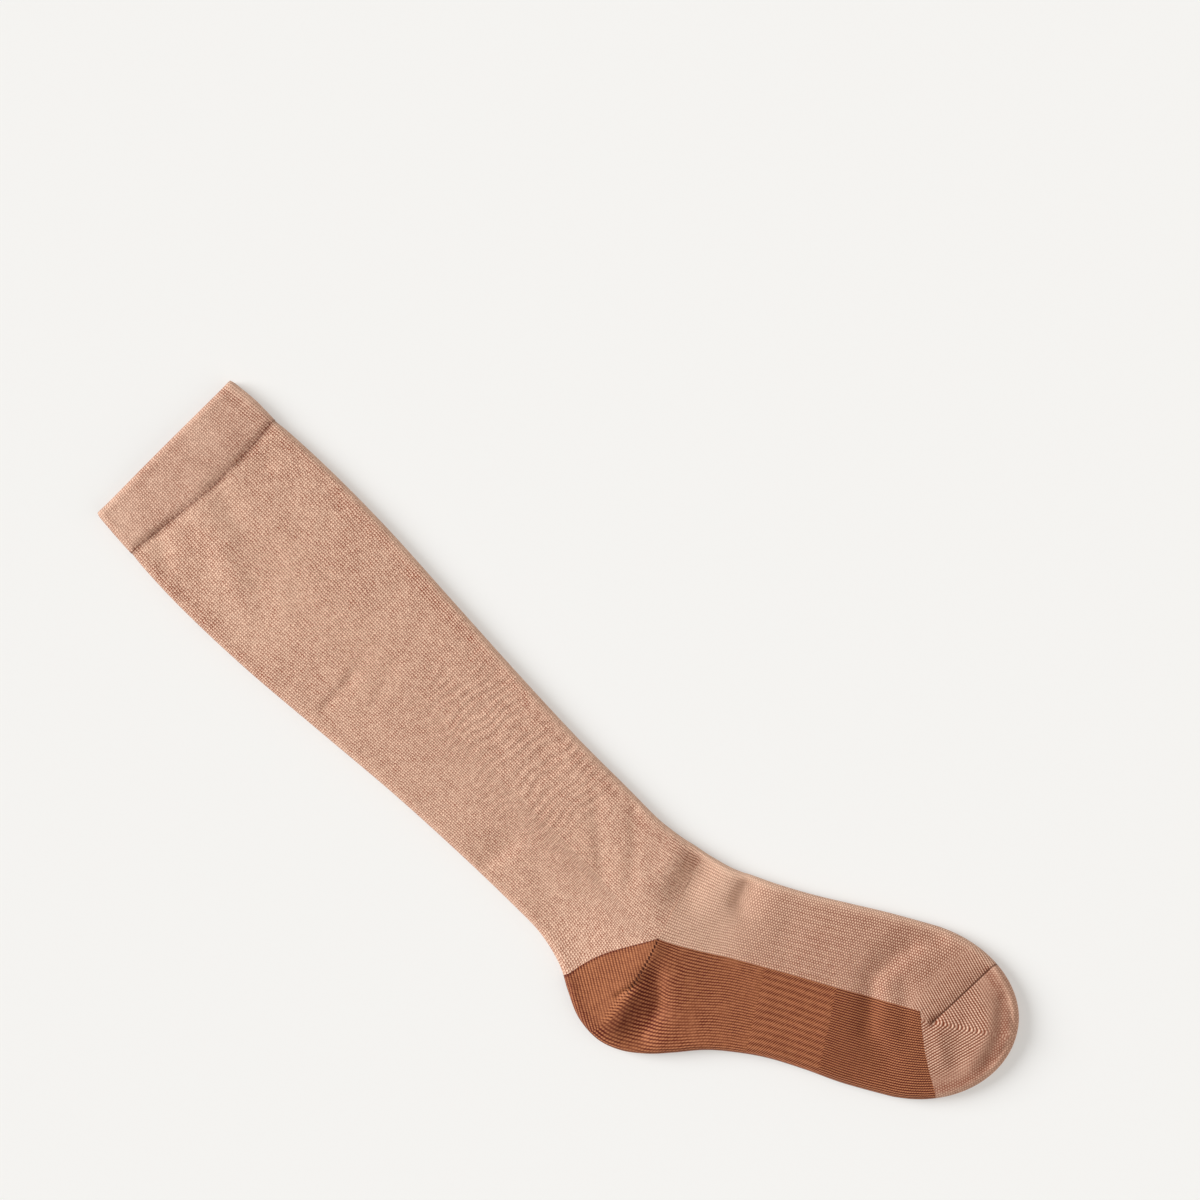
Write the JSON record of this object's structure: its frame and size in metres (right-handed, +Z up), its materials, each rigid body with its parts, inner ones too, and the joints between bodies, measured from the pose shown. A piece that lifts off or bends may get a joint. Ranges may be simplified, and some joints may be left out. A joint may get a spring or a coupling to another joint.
{
  "type": "compression stocking",
  "caption": "Knee-high compression stocking lying flat on its side, with a turned welt, a ribbed leg, a pocket heel, a sole with a ribbed arch band and a closed toe.",
  "frame": {"origin": "on the surface that the stocking lies on, under the middle of the ankle", "axes": "+Y up the leg to the welt, +X to the front of the leg and the top of the foot, +Z up from the surface"},
  "size_m": [0.1716, 0.5248, 0.0163],
  "materials": {
    "tan_knit": "heathered fine rib, matte",
    "welt_knit": "fine double knit, matte",
    "copper_knit": "fine rib with a slight sheen"
  },
  "bodies": {
    "root": {"welt": "welt_knit", "leg": "tan_knit", "instep": "tan_knit", "toe": "tan_knit", "heel": "copper_knit", "sole_rear": "copper_knit", "arch_band": "copper_knit", "sole_front": "copper_knit"}
  },
  "joints": []
}
